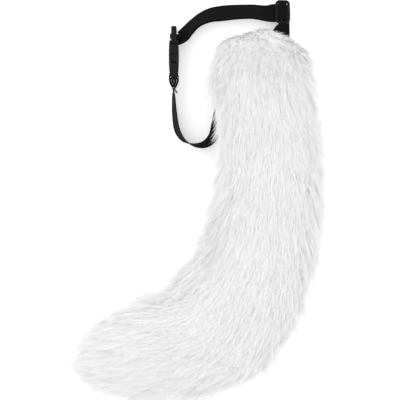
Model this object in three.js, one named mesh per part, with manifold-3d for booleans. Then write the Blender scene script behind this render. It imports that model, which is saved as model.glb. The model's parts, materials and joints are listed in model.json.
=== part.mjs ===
// A costume tail of white long-pile fur on a belt loop of black webbing, lying on its flattened underside.
// Millimetres, +Z up. The surface is z = 0, +Y points from the tail's low end to its root, and the tip curls to -X.
// Places are worked out from the peak of the root, and the whole is moved to its reference point at the end.
import * as THREE from "three";
import { mergeVertices } from "three/addons/utils/BufferGeometryUtils.js";
import Module from "manifold-3d";

// Tail, over the fur
const tailHeight = 476; // from the root's peak to the lowest fur
const tailSweep = 242; // from the root's peak across to the tip
const tailWidth = 141;
const tailDepth = 112;
const pile = 11; // how far the locks stand off the stuffed body
const lockLength = 58;
const lockWidth = 34;
const lockRows = 16; // rings of locks from root to tip
const locksAround = 8; // locks on each ring, over the back and both sides
const firstLocks = 0.05; // where the first and the last ring stand, as shares of the way from root to tip
const lastLocks = 0.94;
const tipDraw = 0.4; // how much of its length past the body's tip a lock keeps
const lockSink = 5; // how deep a lock's edges sit in the body
const finest = 0.2; // edges of the fur shorter than this are merged away

// Webbing
const webWidth = 25;
const webThick = 1.4;
const webGap = 0.3; // between two layers, and between webbing and what it touches
const bendRoom = 0.5; // extra clearance where webbing turns a corner
const floorGap = 0.4; // under the lowest edge of the webbing and hardware

// Slider: three bars across the webbing, with a slot on each side of the middle one
const sliderX = 23.4; // its centre, from the root's peak
const sliderY = 18.7;
const sliderRise = 13.2;
const sliderAcross = 33;
const sliderBar = 2.8; // each outer bar, along the webbing
const sliderMiddleBar = 3;
const sliderSlot = 5.2;
const sliderThick = 2.8;
const sliderLean = 21; // degrees, inner edge up
const sliderCorner = 6;
const sliderBevel = 0.5;
const sliderHold = 12; // from its centre, where the webbing's two layers are clear of it
const runJoined = 40; // from its centre, where the two layers lie on each other

// Buckle, standing on its side edge
const buckleX = -116.5; // its middle plane, from the root's peak
const buckleTop = -0.6; // the plug's outer end
const buckleWidth = 33;
const plugLength = 21.7; // the part outside the socket
const plugFrameWidth = 30;
const plugThick = 6.8;
const plugCorner = 2.5;
const plugEndBar = 7;
const plugBarThick = 3.5; // cross bar that the doubled run goes round, along the buckle
const plugBarDeep = 6; // the same bar, through the buckle
const plugSlot = 4; // on each side of the cross bar
const plugCollar = 3.2;
const plugCollarThick = 11.6;
const armReach = 26; // how far the sprung arms go into the socket
const armThick = 6.8;
const armInset = 6; // its root, from the buckle's side
const armWidth = 3.2;
const armClear = 0.3; // its button, from the buckle's side
const tongueWidth = 4.6; // guide tongue between the arms
const tongueThick = 4;
const tongueReach = 18; // how far it goes into the socket
const joinGap = 0.4; // between plug and socket
const socketLength = 44;
const socketThick = 12.8;
const socketEndThick = 8.4;
const socketWall = 1.9;
const socketCorner = 3.2;
const socketEndBar = 4.6;
const socketSlot = 6;
const windowStart = 13.5; // from the socket's mouth
const windowLength = 12;
const webSlack = 1.2; // slot length over the webbing's width

// Loop
const loopDrop = 73; // from the sewn joint down to the lowest bend of the U
const loopTuck = -22; // where the short strap is sewn on under the tail, from the root's peak
const loopBulge = 0.4; // how far the sewn loop stands off the end bar
const loopSewn = 13.5; // from the socket's end to the sewn joint
const runRise = 4; // how much the doubled run climbs off the surface on its way to the buckle
const runStep = 9; // between the doubled run's stations
const barLead = 16; // from the cross bar, where the two layers part to go round it
const barMeet = 3; // from the cross bar, where they are wholly parted
const flareLength = 5.5;
const flareSpread = 3.2;

// Rows from root to tip. along is a share of tailHeight, aside of tailSweep, width of tailWidth and depth of tailDepth.
// lift is how far the belly clears the surface, as a share of tailDepth, and pile a share of the pile.
const spineRows = [
  { along: 0.006, aside: 0.0, width: 0.05, depth: 0.08, lift: 0.1, pile: 0.0 },
  { along: 0.02, aside: 0.0, width: 0.3, depth: 0.24, lift: 0.065, pile: 0.05 },
  { along: 0.04, aside: 0.0, width: 0.65, depth: 0.46, lift: 0.03, pile: 0.1 },
  { along: 0.068, aside: 0.008, width: 0.84, depth: 0.68, lift: 0.005, pile: 0.3 },
  { along: 0.11, aside: 0.015, width: 0.94, depth: 0.88, lift: -0.02, pile: 0.7 },
  { along: 0.17, aside: 0.008, width: 0.95, depth: 0.97, lift: -0.04, pile: 1 },
  { along: 0.27, aside: -0.01, width: 0.94, depth: 1.0, lift: -0.05, pile: 1 },
  { along: 0.38, aside: -0.025, width: 0.95, depth: 1.0, lift: -0.05, pile: 1 },
  { along: 0.48, aside: -0.01, width: 0.98, depth: 1.0, lift: -0.05, pile: 1 },
  { along: 0.57, aside: 0.01, width: 1.0, depth: 1.0, lift: -0.05, pile: 1 },
  { along: 0.645, aside: 0.055, width: 1.02, depth: 1.0, lift: -0.05, pile: 1 },
  { along: 0.718, aside: 0.12, width: 1.08, depth: 1.0, lift: -0.05, pile: 1 },
  { along: 0.793, aside: 0.226, width: 1.11, depth: 1.0, lift: -0.05, pile: 1 },
  { along: 0.839, aside: 0.378, width: 1.03, depth: 1.0, lift: -0.05, pile: 1 },
  { along: 0.862, aside: 0.54, width: 0.98, depth: 0.96, lift: -0.05, pile: 1 },
  { along: 0.878, aside: 0.69, width: 0.86, depth: 0.88, lift: -0.05, pile: 1 },
  { along: 0.892, aside: 0.81, width: 0.72, depth: 0.76, lift: -0.05, pile: 1 },
  { along: 0.903, aside: 0.9, width: 0.55, depth: 0.6, lift: -0.04, pile: 0.9 },
  { along: 0.909, aside: 0.955, width: 0.38, depth: 0.44, lift: -0.01, pile: 0.7 },
  { along: 0.911, aside: 0.975, width: 0.18, depth: 0.28, lift: 0.03, pile: 0.4 },
];

// The doubled run, as shares of the way from the slider to the buckle's cross bar; lean in degrees, inner edge up.
const topRun = [
  { along: 0.158, down: 0.01, lean: 36 },
  { along: 0.25, down: -0.005, lean: 42 },
  { along: 0.34, down: -0.005, lean: 43 },
  { along: 0.44, down: 0.013, lean: 41 },
  { along: 0.524, down: 0.044, lean: 38 },
  { along: 0.59, down: 0.078, lean: 39 },
  { along: 0.652, down: 0.122, lean: 43 },
  { along: 0.726, down: 0.243, lean: 51 },
  { along: 0.799, down: 0.443, lean: 60 },
  { along: 0.854, down: 0.673, lean: 63 },
  { along: 0.902, down: 0.89, lean: 69 },
  { along: 0.938, down: 1.01, lean: 80 },
  { along: 0.97, down: 1.02, lean: 89 },
];

// The U of the short strap: across is a share of the way from the buckle to the tuck point under the tail, down a share
// of loopDrop below the sewn joint. The lean passes 90 degrees where the webbing turns its other face up, and rise is
// how much of the buckle's height the webbing still has.
const lowerRun = [
  { across: -0.004, down: 0.14, lean: 84, rise: 0.85 },
  { across: 0.01, down: 0.465, lean: 79, rise: 0.35 },
  { across: 0.045, down: 0.73, lean: 75, rise: 0.08 },
  { across: 0.118, down: 0.89, lean: 80, rise: 0 },
  { across: 0.205, down: 0.963, lean: 91, rise: 0 },
  { across: 0.33, down: 1.0, lean: 104, rise: 0 },
  { across: 0.438, down: 0.97, lean: 114, rise: 0 },
  { across: 0.535, down: 0.85, lean: 122, rise: 0 },
  { across: 0.612, down: 0.62, lean: 140, rise: 0 },
  { across: 0.672, down: 0.377, lean: 156, rise: 0 },
  { across: 0.725, down: 0.15, lean: 168, rise: 0 },
  { across: 0.826, down: -0.13, lean: 176, rise: 0 },
  { across: 0.93, down: -0.34, lean: 180, rise: 0 },
];

// The stub from under the root up to the slider's slot, in webbing widths from the slider's centre, so that it follows
// the slider. turn is the direction of the webbing's width in plan and lean its slope, both in degrees.
const stubRows = [
  { right: -0.42, down: 2.2, turn: 180, lean: 0 },
  { right: -0.3, down: 1.8, turn: 180, lean: 0 },
  { right: -0.15, down: 1.43, turn: 180, lean: 2 },
  { right: -0.08, down: 1.03, turn: 181, lean: 24 },
  { right: 0.02, down: 0.62, turn: 198, lean: 44 },
  { right: 0.15, down: 0.24, turn: 235, lean: 35 },
];

const wasm = await Module();
wasm.setup();

// Joining and cutting

function solidOf(geometry) {
  const bare = geometry.clone();
  bare.deleteAttribute("normal");
  bare.deleteAttribute("uv");
  const merged = mergeVertices(bare, 1e-4);
  return new wasm.Manifold(
    new wasm.Mesh({
      numProp: 3,
      vertProperties: merged.attributes.position.array,
      triVerts: new Uint32Array(merged.index.array),
    }),
  );
}

function geometryOf(solid) {
  const mesh = solid.getMesh();
  const geometry = new THREE.BufferGeometry();
  geometry.setAttribute("position", new THREE.BufferAttribute(new Float32Array(mesh.vertProperties), 3));
  geometry.setIndex(new THREE.BufferAttribute(new Uint32Array(mesh.triVerts), 1));
  return geometry;
}

// The main body alone, without crumbs cut off it and small air pockets closed in between locks.
function largestBody(solid) {
  return solid.decompose().sort((a, b) => b.volume() - a.volume())[0];
}

function box(width, length, height, x, y, z) {
  return solidOf(new THREE.BoxGeometry(width, length, height).translate(x, y, z));
}

// Rings of equally many points, joined in a skin and closed at both ends by a fan.
function loft(rings) {
  const around = rings[0].length;
  const points = rings.flat().flatMap((p) => [p.x, p.y, p.z]);
  const faces = [];
  for (let r = 0; r < rings.length - 1; r++)
    for (let i = 0; i < around; i++) {
      const a = r * around + i;
      const b = r * around + ((i + 1) % around);
      faces.push(a, b, b + around, a, b + around, a + around);
    }
  const last = (rings.length - 1) * around;
  for (let i = 1; i < around - 1; i++) faces.push(0, i + 1, i, last, last + i, last + i + 1);
  const geometry = new THREE.BufferGeometry();
  geometry.setAttribute("position", new THREE.Float32BufferAttribute(points, 3));
  geometry.setIndex(faces);
  return geometry;
}

function roundedRectangle(width, length, radius) {
  const x = width / 2;
  const y = length / 2;
  const outline = new THREE.Shape();
  outline.moveTo(-x + radius, -y);
  outline.lineTo(x - radius, -y).absarc(x - radius, -y + radius, radius, -Math.PI / 2, 0);
  outline.lineTo(x, y - radius).absarc(x - radius, y - radius, radius, 0, Math.PI / 2);
  outline.lineTo(-x + radius, y).absarc(-x + radius, y - radius, radius, Math.PI / 2, Math.PI);
  outline.lineTo(-x, -y + radius).absarc(-x + radius, -y + radius, radius, Math.PI, Math.PI * 1.5);
  return outline;
}

// A plate of the given full thickness, centred on z = 0, its rims rounded by the bevel.
function plate(outline, thickness, bevel) {
  const depth = thickness - 2 * bevel;
  return new THREE.ExtrudeGeometry(outline, {
    depth,
    curveSegments: 4,
    bevelThickness: bevel,
    bevelSize: bevel,
    bevelOffset: -bevel,
    bevelSegments: 1,
  }).translate(0, 0, -depth / 2);
}

// Webbing

const pitch = webThick + webGap; // from layer to layer
const degrees = THREE.MathUtils.degToRad;
const leanOf = (side, lean) =>
  side.clone().multiplyScalar(Math.cos(degrees(lean))).add(new THREE.Vector3(0, 0, Math.sin(degrees(lean))));
const restHeight = (lean) =>
  floorGap +
  (webWidth / 2) * Math.abs(Math.sin(degrees(lean))) +
  (webThick / 2) * Math.abs(Math.cos(degrees(lean)));

// A strap through frames of a place and a width direction, smoothed, of the given width and thickness.
function ribbon(frames, width, thick, perSpan = 2) {
  const places = new THREE.CatmullRomCurve3(frames.map((f) => f.place), false, "centripetal");
  const sides = new THREE.CatmullRomCurve3(frames.map((f) => f.side), false, "centripetal");
  const steps = (frames.length - 1) * perSpan;
  const rings = [];
  for (let i = 0; i <= steps; i++) {
    const centre = places.getPoint(i / steps);
    const side = sides.getPoint(i / steps).normalize();
    const face = places.getTangent(i / steps).cross(side).normalize();
    const corner = (a, b) =>
      centre.clone().addScaledVector(side, (a * width) / 2).addScaledVector(face, (b * thick) / 2);
    rings.push([corner(-1, -1), corner(1, -1), corner(1, 1), corner(-1, 1)]);
  }
  return loft(rings);
}

// The doubled run's middle line, measured in millimetres from the slider's centre.
const sliderCentre = new THREE.Vector3(sliderX, sliderY, sliderRise);
const barDown = plugEndBar + plugSlot + plugBarThick / 2; // the cross bar's axis, from the plug's end
const buckleRise = floorGap + buckleWidth / 2;
const barCentre = new THREE.Vector3(buckleX, buckleTop - barDown, buckleRise);

// How far each layer of the doubled run stands off the middle line between slider and bar.
const underBar = sliderThick / 2 + webGap + webThick / 2 + bendRoom;
const barSide = plugBarThick / 2 + webGap + webThick / 2;
function layerOff(distance, upper, length) {
  const fromSlider = THREE.MathUtils.smoothstep(distance, sliderHold, runJoined);
  const toBar = THREE.MathUtils.smoothstep(distance, length - barLead, length - barMeet);
  const atSlider = upper ? -underBar : -underBar - pitch;
  const free = upper ? pitch / 2 : -pitch / 2;
  const atBar = upper ? barSide : -barSide;
  return THREE.MathUtils.lerp(THREE.MathUtils.lerp(atSlider, free, fromSlider), atBar, toBar);
}

function middleLine() {
  const run = barCentre.clone().sub(sliderCentre);
  const straight = [0, 0.04, 0.08].map((along) => ({ along, down: 0, lean: sliderLean }));
  const rows = [...straight, ...topRun, { along: 1, down: 1, lean: 90 }];
  const places = rows.map((row, i) => {
    const below = -Math.min(layerOff(run.length() * row.along, false, run.length()), 0);
    const resting = restHeight(row.lean) + below * Math.cos(degrees(row.lean)) + runRise * row.along;
    const height = row.down === 0 ? sliderRise : i === rows.length - 1 ? buckleRise : resting;
    return new THREE.Vector3(sliderX + run.x * row.along, sliderY + run.y * row.down, height);
  });
  const line = new THREE.CatmullRomCurve3(places, false, "centripetal");
  const leans = new THREE.CatmullRomCurve3(rows.map((row) => new THREE.Vector3(row.lean, 0, 0)));
  const length = line.getLength();
  const frame = (distance, off) => {
    const share = THREE.MathUtils.clamp(distance / length, 0, 1);
    const t = line.getUtoTmapping(share);
    const ahead = distance < 0 ? new THREE.Vector3(-1, 0, 0) : line.getTangent(t);
    const flat = new THREE.Vector3(-ahead.y, ahead.x, 0).normalize();
    const side = leanOf(flat, leans.getPoint(t).x);
    const face = ahead.clone().cross(side).normalize();
    const place = line.getPoint(t).addScaledVector(ahead, Math.min(distance, 0)).addScaledVector(face, off);
    return { place, side };
  };
  return { length, frame };
}

const middle = middleLine();

// Over the slider's middle bar: the lower layer lies on the bar and the upper one on top of it.
function weave(upper) {
  const off = upper ? pitch : 0;
  const slot = sliderMiddleBar / 2 + webGap + webThick / 2 + (upper ? pitch + bendRoom : 0);
  const top = sliderThick / 2 + webGap + webThick / 2 + off;
  const bottom = upper ? -underBar - bendRoom : -underBar - pitch;
  return [
    [-slot, upper ? bottom : -sliderThick / 2],
    [-slot, 0.1 * top],
    [-0.95 * slot, 0.8 * top],
    [-0.6 * slot, 1.02 * top],
    [0, 1.04 * top],
    [0.6 * slot, 1.02 * top],
    [0.95 * slot, 0.8 * top],
    [slot, 0.1 * top],
    [slot + 0.3, 0.6 * bottom],
    [slot + 2.2, bottom],
  ].map(([distance, height]) => middle.frame(distance, height));
}

function strapLongFrames() {
  const stub = stubRows.map((row) => {
    const side = leanOf(new THREE.Vector3(Math.cos(degrees(row.turn)), Math.sin(degrees(row.turn)), 0), row.lean);
    const x = sliderX + row.right * webWidth;
    return { place: new THREE.Vector3(x, sliderY - row.down * webWidth, restHeight(row.lean) + webGap), side };
  });
  const layer = (upper) => {
    const frames = [];
    for (let d = sliderHold; d < middle.length - barMeet / 2; d += runStep)
      frames.push(middle.frame(d, layerOff(d, upper, middle.length)));
    return frames;
  };
  const { side } = middle.frame(middle.length, 0);
  const reach = plugBarDeep / 2 + webGap + webThick / 2 + bendRoom;
  const turn = [0, 30, 60, 90, 120, 150, 180].map((angle) => ({
    place: barCentre
      .clone()
      .add(new THREE.Vector3(-reach * Math.sin(degrees(angle)), barSide * Math.cos(degrees(angle)), 0)),
    side,
  }));
  return [...stub, ...weave(true), ...layer(true), ...turn, ...layer(false).reverse(), ...weave(false).reverse()];
}

const socketTop = buckleTop - plugLength - joinGap;
const socketEnd = socketTop - socketLength;
const endBarY = socketEnd + socketEndBar / 2;
const sewnY = socketEnd - loopSewn;

function strapShortFrames() {
  const up = new THREE.Vector3(0, 0, 1);
  const at = (x, y, side = up, z = buckleRise) => ({ place: new THREE.Vector3(buckleX + x, y, z), side });
  const half = socketEndThick / 2 + webGap + webThick / 2;
  const wide = half + loopBulge;
  const over = endBarY + socketEndBar / 2 + webGap * 2 + webThick / 2;
  const flare = [
    at(pitch / 2 + flareSpread, sewnY - flareLength),
    at(pitch / 2 + flareSpread * 0.4, sewnY - flareLength * 0.5),
  ];
  const joint = (hand) => [
    at((hand * pitch) / 2, sewnY),
    at(hand * half * 0.62, sewnY + loopSewn * 0.28),
    at(hand * wide * 0.92, sewnY + loopSewn * 0.62),
    at(hand * wide, socketEnd),
    at(hand * half, endBarY + socketEndBar * 0.35),
    at(hand * half * 0.95, over - bendRoom),
  ];
  const across = [at(half * 0.6, over), at(0, over), at(-half * 0.6, over)];
  const lower = lowerRun.map((row, i) => {
    const place = new THREE.Vector3(
      THREE.MathUtils.lerp(buckleX, loopTuck, row.across),
      sewnY - loopDrop * row.down,
      THREE.MathUtils.lerp(restHeight(row.lean), buckleRise, row.rise),
    );
    return { place, i, lean: row.lean };
  });
  const line = new THREE.CatmullRomCurve3([new THREE.Vector3(buckleX, sewnY, 0), ...lower.map((f) => f.place)]);
  const run = lower.map(({ place, i, lean }) => {
    const ahead = line.getTangent((i + 1) / lower.length);
    return { place, side: leanOf(new THREE.Vector3(-ahead.y, ahead.x, 0).normalize(), lean) };
  });
  return [...flare, ...joint(1), ...across, ...joint(-1).reverse(), ...run];
}

// Fur tail

const spine = new THREE.CatmullRomCurve3(
  spineRows.map((row) => new THREE.Vector3(-row.aside * tailSweep, -row.along * tailHeight, 0)),
  false,
  "centripetal",
);
const sizeOf = new THREE.CatmullRomCurve3(spineRows.map((row) => new THREE.Vector3(row.width, row.depth, row.lift)));
const spineLength = spine.getLength();
const pileOf = new THREE.CatmullRomCurve3(spineRows.map((row) => new THREE.Vector3(row.pile, 0, 0)));

// The stuffed body's section at a share of the spine: a place on it, the way out of it and the way along the nap.
function section(share) {
  const t = spine.getUtoTmapping(share);
  const size = sizeOf.getPoint(t);
  const stand = pile * pileOf.getPoint(t).x;
  const half = Math.max((size.x * tailWidth) / 2 - stand, 0.5);
  const top = size.y * tailDepth - stand;
  const bottom = size.z * tailDepth;
  const tall = Math.max((top - bottom) / 2, 0.5);
  const nap = spine.getTangent(t);
  const side = new THREE.Vector3(-nap.y, nap.x, 0);
  const centre = spine.getPoint(t).setZ((top + bottom) / 2);
  const place = (angle, sink = 0) =>
    centre
      .clone()
      .addScaledVector(side, (half - sink) * Math.cos(angle))
      .add(new THREE.Vector3(0, 0, (tall - sink) * Math.sin(angle)));
  const out = (angle) =>
    side
      .clone()
      .multiplyScalar(tall * Math.cos(angle))
      .add(new THREE.Vector3(0, 0, half * Math.sin(angle)))
      .normalize();
  return { place, out, nap, stand };
}

function stuffedBody() {
  const rings = [];
  const steps = 28;
  const around = 16;
  for (let i = 0; i <= steps; i++) {
    const { place } = section(i / steps);
    rings.push(Array.from({ length: around }, (_, k) => place((k / around) * Math.PI * 2)));
  }
  return loft(rings);
}

// One tapered lock. Its foot is in the body, and it follows the body's curve along the nap while it rises to the pile's
// height. Past the body's tip it runs straight on.
function lock(share, angle, long) {
  const rows = [
    { ahead: -0.05, wide: 0.6, ridge: -0.1, edge: -1.6 },
    { ahead: 0.35, wide: 1, ridge: 0.7, edge: -1 },
    { ahead: 0.72, wide: 0.62, ridge: 1, edge: -0.8 },
    { ahead: 1, wide: 0.05, ridge: 1.05, edge: 0.4 },
  ];
  const rings = rows.map((row) => {
    const at = share + (row.ahead * lockLength * long) / spineLength;
    const { place, out, nap, stand } = section(Math.min(at, 1));
    const up = out(angle);
    const side = nap.clone().cross(up).normalize();
    const centre = place(angle).addScaledVector(nap, Math.max(at - 1, 0) * spineLength * tipDraw);
    const corner = (a, off) =>
      centre
        .clone()
        .addScaledVector(side, (a * row.wide * lockWidth) / 2)
        .addScaledVector(up, off);
    return [corner(-1, row.edge * lockSink), corner(0, row.ridge * stand), corner(1, row.edge * lockSink)];
  });
  return loft(rings);
}

function furTail(straps) {
  let fur = solidOf(stuffedBody());
  for (let row = 0; row < lockRows; row++) {
    const share = THREE.MathUtils.lerp(firstLocks, lastLocks, row / (lockRows - 1));
    for (let k = 0; k < locksAround; k++) {
      const step = (k + (row % 2 ? 0.75 : 0.25)) / locksAround;
      const angle = degrees(THREE.MathUtils.lerp(-28, 208, step));
      const long = 0.85 + 0.3 * THREE.MathUtils.seededRandom(1 + row * locksAround + k);
      fur = fur.add(solidOf(lock(share, angle, long)));
    }
  }
  const reach = 3 * (tailHeight + tailSweep);
  fur = fur.subtract(box(reach, reach, tailDepth, 0, 0, -tailDepth / 2));
  for (const strap of straps) fur = fur.subtract(strap);
  return geometryOf(largestBody(solidOf(geometryOf(fur.simplify(finest)))));
}

// Slider, its length along x and its width along y

function slider() {
  const length = 2 * sliderBar + 2 * sliderSlot + sliderMiddleBar;
  let solid = solidOf(plate(roundedRectangle(length, sliderAcross, sliderCorner), sliderThick, sliderBevel));
  for (const hand of [-1, 1]) {
    const x = hand * (sliderMiddleBar / 2 + sliderSlot / 2);
    solid = solid.subtract(box(sliderSlot, webWidth + webSlack, sliderThick * 2, x, 0, 0));
  }
  return geometryOf(solid);
}

// Buckle halves, x across the webbing, y from the plug's end towards the socket's end, z through the buckle

function slab(width, from, to, thickness, corner, bevel) {
  return plate(roundedRectangle(width, to - from, corner), thickness, bevel).translate(0, (from + to) / 2, 0);
}

function buckleArm(hand) {
  const start = plugLength - 1;
  const root = buckleWidth / 2 - armInset;
  const tip = buckleWidth / 2 - armClear;
  const arm = new THREE.Shape();
  const point = (x, y) => [hand * x, start + y * armReach];
  arm.moveTo(...point(root, 0));
  arm.lineTo(...point(root + armWidth, 0));
  arm.quadraticCurveTo(...point(root + armWidth * 0.9, 0.4), ...point(root + armWidth, 0.56));
  arm.lineTo(...point(tip - 0.4, 0.615));
  arm.quadraticCurveTo(...point(tip + 0.3, 0.8), ...point(tip - 1.6, 0.99));
  arm.lineTo(...point(root + armWidth * 0.75, 1.02));
  arm.quadraticCurveTo(...point(root + armWidth * 0.19, 0.95), ...point(root + armWidth * 0.16, 0.7));
  arm.lineTo(...point(root, 0));
  return solidOf(plate(arm, armThick, 0.4));
}

function bucklePlug() {
  const opening = 2 * plugSlot + plugBarThick;
  let solid = solidOf(slab(plugFrameWidth, 0, plugLength, plugThick, plugCorner, 0.7));
  solid = solid.add(solidOf(slab(buckleWidth, plugLength - plugCollar, plugLength, plugCollarThick, 0.9, 0.6)));
  solid = solid.subtract(box(webWidth + webSlack, opening, plugThick * 2, 0, plugEndBar + opening / 2, 0));
  const bar = new THREE.CylinderGeometry(0.5, 0.5, webWidth + webSlack + 1, 12).rotateZ(Math.PI / 2);
  solid = solid.add(solidOf(bar.scale(1, plugBarThick, plugBarDeep).translate(0, barDown, 0)));
  for (const hand of [-1, 1]) solid = solid.add(buckleArm(hand));
  solid = solid.add(solidOf(slab(tongueWidth, plugLength - 1, plugLength + tongueReach, tongueThick, 0.8, 0.4)));
  return geometryOf(solid);
}

function buckleSocket() {
  const from = plugLength + joinGap;
  const to = from + socketLength;
  const rear = socketEndBar + socketSlot + socketWall;
  const side = new THREE.Shape();
  side.moveTo(from, -socketThick * 0.47);
  side.quadraticCurveTo((from + to) / 2, -socketThick * 0.53, to - rear, -socketThick * 0.46);
  side.quadraticCurveTo(to - rear * 0.5, -socketThick * 0.44, to - 1.4, -socketEndThick / 2);
  side.quadraticCurveTo(to, -socketEndThick * 0.45, to, 0);
  side.quadraticCurveTo(to, socketEndThick * 0.45, to - 1.4, socketEndThick / 2);
  side.quadraticCurveTo(to - rear * 0.5, socketThick * 0.44, to - rear, socketThick * 0.46);
  side.quadraticCurveTo((from + to) / 2, socketThick * 0.53, from, socketThick * 0.47);
  const width = buckleWidth;
  const lying = new THREE.Matrix4().makeBasis(
    new THREE.Vector3(0, 1, 0),
    new THREE.Vector3(0, 0, 1),
    new THREE.Vector3(1, 0, 0),
  );
  const profile = new THREE.ExtrudeGeometry(side, { depth: width, bevelEnabled: false, curveSegments: 5 })
    .translate(0, 0, -width / 2)
    .applyMatrix4(lying);
  let solid = solidOf(profile).intersect(solidOf(slab(width, from, to, socketThick * 1.2, socketCorner, 0.1)));
  const pocket = socketLength - rear;
  const inner = width - 2 * socketWall;
  const hollow = socketThick * 0.94 - 2 * socketWall;
  solid = solid.subtract(box(inner, pocket, hollow, 0, from - 0.5 + pocket / 2, 0));
  const windowY = from + windowStart + windowLength / 2;
  solid = solid.subtract(box(width * 1.2, windowLength, armThick + 2 * joinGap, 0, windowY, 0));
  const slotY = to - socketEndBar - socketSlot / 2;
  solid = solid.subtract(box(webWidth + webSlack, socketSlot, socketThick * 2, 0, slotY, 0));
  const barRecess = socketThick - socketEndThick;
  for (const hand of [-1, 1]) {
    const z = hand * (socketEndThick / 2 + barRecess / 2);
    solid = solid.subtract(box(webWidth + webSlack, socketEndBar + 2, barRecess, 0, to - socketEndBar / 2, z));
  }
  return geometryOf(solid);
}

// Assembly

const fur = new THREE.MeshStandardMaterial({ color: 0xf4f3f1, roughness: 0.95, metalness: 0 });
const webbing = new THREE.MeshStandardMaterial({ color: 0x161616, roughness: 0.85, metalness: 0 });
const plastic = new THREE.MeshStandardMaterial({ color: 0x222223, roughness: 0.45, metalness: 0 });

function named(name, geometry, material) {
  const mesh = new THREE.Mesh(geometry, material);
  mesh.name = name;
  return mesh;
}

const longFrames = strapLongFrames();
const shortFrames = strapShortFrames();
const clear = 2 * webGap;
const pressed = [longFrames, shortFrames.toReversed()].map((frames) => {
  const [end, next] = frames;
  const beyond = end.place.clone().add(end.place.clone().sub(next.place).setLength(clear));
  return solidOf(ribbon([{ place: beyond, side: end.side }, ...frames], webWidth + clear, webThick + clear));
});

const sliderHolder = new THREE.Group();
sliderHolder.position.copy(sliderCentre);
sliderHolder.rotation.x = -degrees(sliderLean);
sliderHolder.add(named("slider", slider(), plastic));

const buckle = new THREE.Group();
buckle.position.set(buckleX, buckleTop, buckleRise);
buckle.setRotationFromMatrix(
  new THREE.Matrix4().makeBasis(
    new THREE.Vector3(0, 0, 1),
    new THREE.Vector3(0, -1, 0),
    new THREE.Vector3(1, 0, 0),
  ),
);
buckle.add(named("buckle_plug", bucklePlug(), plastic), named("buckle_socket", buckleSocket(), plastic));

const part = new THREE.Group();
part.add(
  named("fur_tail", furTail(pressed), fur),
  named("strap_long", ribbon(longFrames, webWidth, webThick), webbing),
  named("strap_short", ribbon(shortFrames, webWidth, webThick), webbing),
  sliderHolder,
  buckle,
);

// The reference point is the middle of the whole, on the surface that it lies on.
part.updateMatrixWorld(true);
const extent = new THREE.Box3().setFromObject(part, true);
part.position.set(-(extent.min.x + extent.max.x) / 2, -(extent.min.y + extent.max.y) / 2, -extent.min.z);

export default part;
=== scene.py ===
import json
import math
import random

import bmesh
import bpy
import numpy as np
from mathutils import Matrix, Vector

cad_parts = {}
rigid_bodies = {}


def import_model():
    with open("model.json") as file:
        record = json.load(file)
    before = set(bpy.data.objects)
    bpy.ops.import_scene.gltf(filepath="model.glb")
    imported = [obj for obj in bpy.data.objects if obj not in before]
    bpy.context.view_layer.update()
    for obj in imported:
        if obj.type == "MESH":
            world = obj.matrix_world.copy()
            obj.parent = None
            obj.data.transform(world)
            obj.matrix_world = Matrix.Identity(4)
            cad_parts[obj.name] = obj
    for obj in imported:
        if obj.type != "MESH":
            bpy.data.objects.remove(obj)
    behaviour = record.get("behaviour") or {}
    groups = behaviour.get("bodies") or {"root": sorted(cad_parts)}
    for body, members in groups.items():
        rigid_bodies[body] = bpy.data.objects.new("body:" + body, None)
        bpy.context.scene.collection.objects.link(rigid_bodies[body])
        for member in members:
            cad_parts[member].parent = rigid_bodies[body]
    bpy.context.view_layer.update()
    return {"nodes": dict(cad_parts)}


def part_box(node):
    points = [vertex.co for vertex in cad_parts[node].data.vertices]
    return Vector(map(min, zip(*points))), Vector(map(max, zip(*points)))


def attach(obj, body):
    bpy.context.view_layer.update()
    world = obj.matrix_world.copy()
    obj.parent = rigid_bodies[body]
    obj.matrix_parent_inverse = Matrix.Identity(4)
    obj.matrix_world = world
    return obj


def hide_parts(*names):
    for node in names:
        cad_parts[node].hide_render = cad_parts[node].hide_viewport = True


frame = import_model()
scene = bpy.context.scene
mm = 0.001

# Places are in millimetres from the peak of the tail's root, and toFrame puts them in the frame
buckle = {
    "middle": -116.5,  # the buckle's middle plane, to the left of the peak
    "top": -0.6,  # the plug's outer end
    "width": 33,
    "plugLength": 21.7,
    "plugEndBar": 7,
    "plugSlot": 4,
    "plugBarThick": 3.5,
    "plugBarDeep": 6,
    "joinGap": 0.4,
    "socketLength": 44,
    "socketEndThick": 8.4,
    "socketEndBar": 4.6,
    "edgeRound": 0.35,
}
plugLow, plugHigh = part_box("buckle_plug")
plugMiddle = (plugLow.x + plugHigh.x) / 2
rootPeak = Vector((plugMiddle - buckle["middle"] * mm, plugHigh.y - buckle["top"] * mm, 0))


def toFrame(place):
    return rootPeak + Vector(place) * mm


def mix(a, b, share):
    return a + (b - a) * share


def clamp(value, low=0.0, high=1.0):
    return min(max(value, low), high)


def smoothStep(value, low, high):
    t = clamp((value - low) / (high - low))
    return t * t * (3 - 2 * t)


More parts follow.
